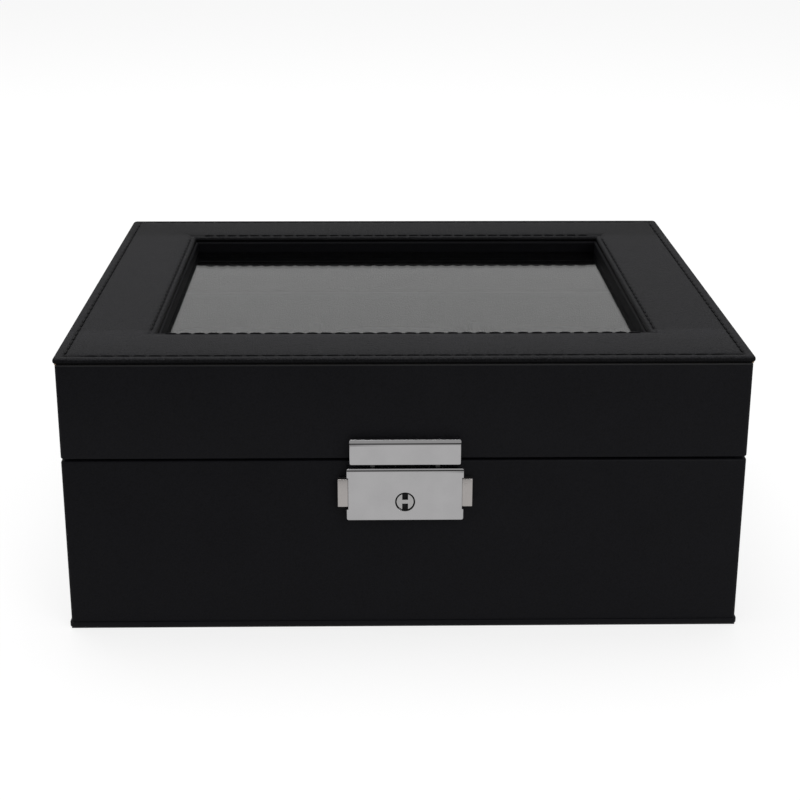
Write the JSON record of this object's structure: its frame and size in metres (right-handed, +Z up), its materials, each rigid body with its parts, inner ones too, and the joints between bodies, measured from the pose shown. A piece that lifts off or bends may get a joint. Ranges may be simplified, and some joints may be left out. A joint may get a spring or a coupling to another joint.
{
  "type": "watch box",
  "caption": "Leather-wrapped watch box with a stitched window frame and glass in its hinged lid, velvet cells with lift-out cushions, and a chrome push-button lock.",
  "frame": {"origin": "on the ground under the middle of the case, in the felt's lower face", "axes": "+X to the box's right seen from its front, +Y to its rear with the lock at -Y, +Z up"},
  "size_m": [0.201, 0.1827, 0.0853],
  "materials": {
    "leather_walls": "black grained leatherette, semi-matt",
    "leather_top": "black grained leatherette over foam, soft sheen",
    "thread": "black sewing thread",
    "board": "raw fibreboard",
    "foam": "thin open-cell foam",
    "velvet": "black velvet on card",
    "cushion_velvet": "black velvet over soft filling",
    "felt": "black needle felt",
    "glass": "clear float glass",
    "chrome": "bright chrome plate",
    "steel": "zinc plated steel",
    "dark_steel": "nickel plated, worn at the key notches",
    "hinge_plate": "nickel plated steel"
  },
  "bodies": {
    "base": {"base_front_wall": "board", "base_rear_wall": "board", "base_left_wall": "board", "base_right_wall": "board", "base_floor": "board", "bottom_panel": "leather_walls", "bottom_felt": "felt", "base_wrap": "leather_walls", "base_lining_front": "velvet", "base_lining_rear": "velvet", "base_lining_left": "velvet", "base_lining_right": "velvet", "floor_pad": "velvet", "long_divider": "velvet", "cross_divider_left": "velvet", "cross_divider_right": "velvet", "lock_housing": "chrome", "lock_back_plate": "steel", "lock_screws": "steel", "left_latch_spring": "steel", "right_latch_spring": "steel", "left_hinge_base_leaf": "hinge_plate", "right_hinge_base_leaf": "hinge_plate", "hinge_pins": "steel", "base_hinge_screws": "steel"},
    "left_push_button": {"left_button": "chrome"},
    "right_push_button": {"right_button": "chrome"},
    "key_barrel": {"key_plug": "dark_steel", "locking_cam": "steel", "plug_clip": "steel"},
    "lid": {"lid_front_wall": "board", "lid_rear_wall": "board", "lid_left_wall": "board", "lid_right_wall": "board", "lid_window_board": "board", "lid_wrap": "leather_walls", "window_edge_wrap": "leather_walls", "top_panel_board": "board", "top_panel_foam": "foam", "top_panel_leather": "leather_top", "outer_stitching": "thread", "inner_stitching": "thread", "glass_pane": "glass", "glass_retainer": "velvet", "lid_lining": "velvet", "hasp_plate": "chrome", "hasp_hooks": "steel", "hasp_screws": "steel", "left_hinge_lid_leaf": "hinge_plate", "right_hinge_lid_leaf": "hinge_plate", "lid_hinge_screws": "steel"},
    "pillow_front_left_cushion": {"pillow_front_left": "cushion_velvet"},
    "pillow_front_middle_cushion": {"pillow_front_middle": "cushion_velvet"},
    "pillow_front_right_cushion": {"pillow_front_right": "cushion_velvet"},
    "pillow_rear_left_cushion": {"pillow_rear_left": "cushion_velvet"},
    "pillow_rear_middle_cushion": {"pillow_rear_middle": "cushion_velvet"},
    "pillow_rear_right_cushion": {"pillow_rear_right": "cushion_velvet"}
  },
  "joints": [
    {"name": "lid_hinge", "type": "hinge", "parent": "base", "child": "lid", "pos_m": [0, 0.0898, 0.0538], "axis": [-1, 0, 0], "range_deg": [0, 100]},
    {"name": "left_button_press", "type": "slide", "parent": "base", "child": "left_push_button", "axis": [1, 0, 0], "range_m": [0, 0.0016], "stiffness_N_per_m": 200, "springref_m": -0.002, "deforming": ["left_latch_spring"]},
    {"name": "right_button_press", "type": "slide", "parent": "base", "child": "right_push_button", "axis": [-1, 0, 0], "range_m": [0, 0.0016], "stiffness_N_per_m": 200, "springref_m": -0.002, "deforming": ["right_latch_spring"]},
    {"name": "key_turn", "type": "hinge", "parent": "base", "child": "key_barrel", "pos_m": [0, -0.0875, 0.0419], "axis": [0, -1, 0], "range_deg": [-90, 0]},
    {"name": "pillow_front_left_lift", "type": "slide", "parent": "base", "child": "pillow_front_left_cushion", "axis": [0, 0, 1], "range_m": [0, 0.022]},
    {"name": "pillow_front_middle_lift", "type": "slide", "parent": "base", "child": "pillow_front_middle_cushion", "axis": [0, 0, 1], "range_m": [0, 0.022]},
    {"name": "pillow_front_right_lift", "type": "slide", "parent": "base", "child": "pillow_front_right_cushion", "axis": [0, 0, 1], "range_m": [0, 0.022]},
    {"name": "pillow_rear_left_lift", "type": "slide", "parent": "base", "child": "pillow_rear_left_cushion", "axis": [0, 0, 1], "range_m": [0, 0.022]},
    {"name": "pillow_rear_middle_lift", "type": "slide", "parent": "base", "child": "pillow_rear_middle_cushion", "axis": [0, 0, 1], "range_m": [0, 0.022]},
    {"name": "pillow_rear_right_lift", "type": "slide", "parent": "base", "child": "pillow_rear_right_cushion", "axis": [0, 0, 1], "range_m": [0, 0.022]}
  ]
}
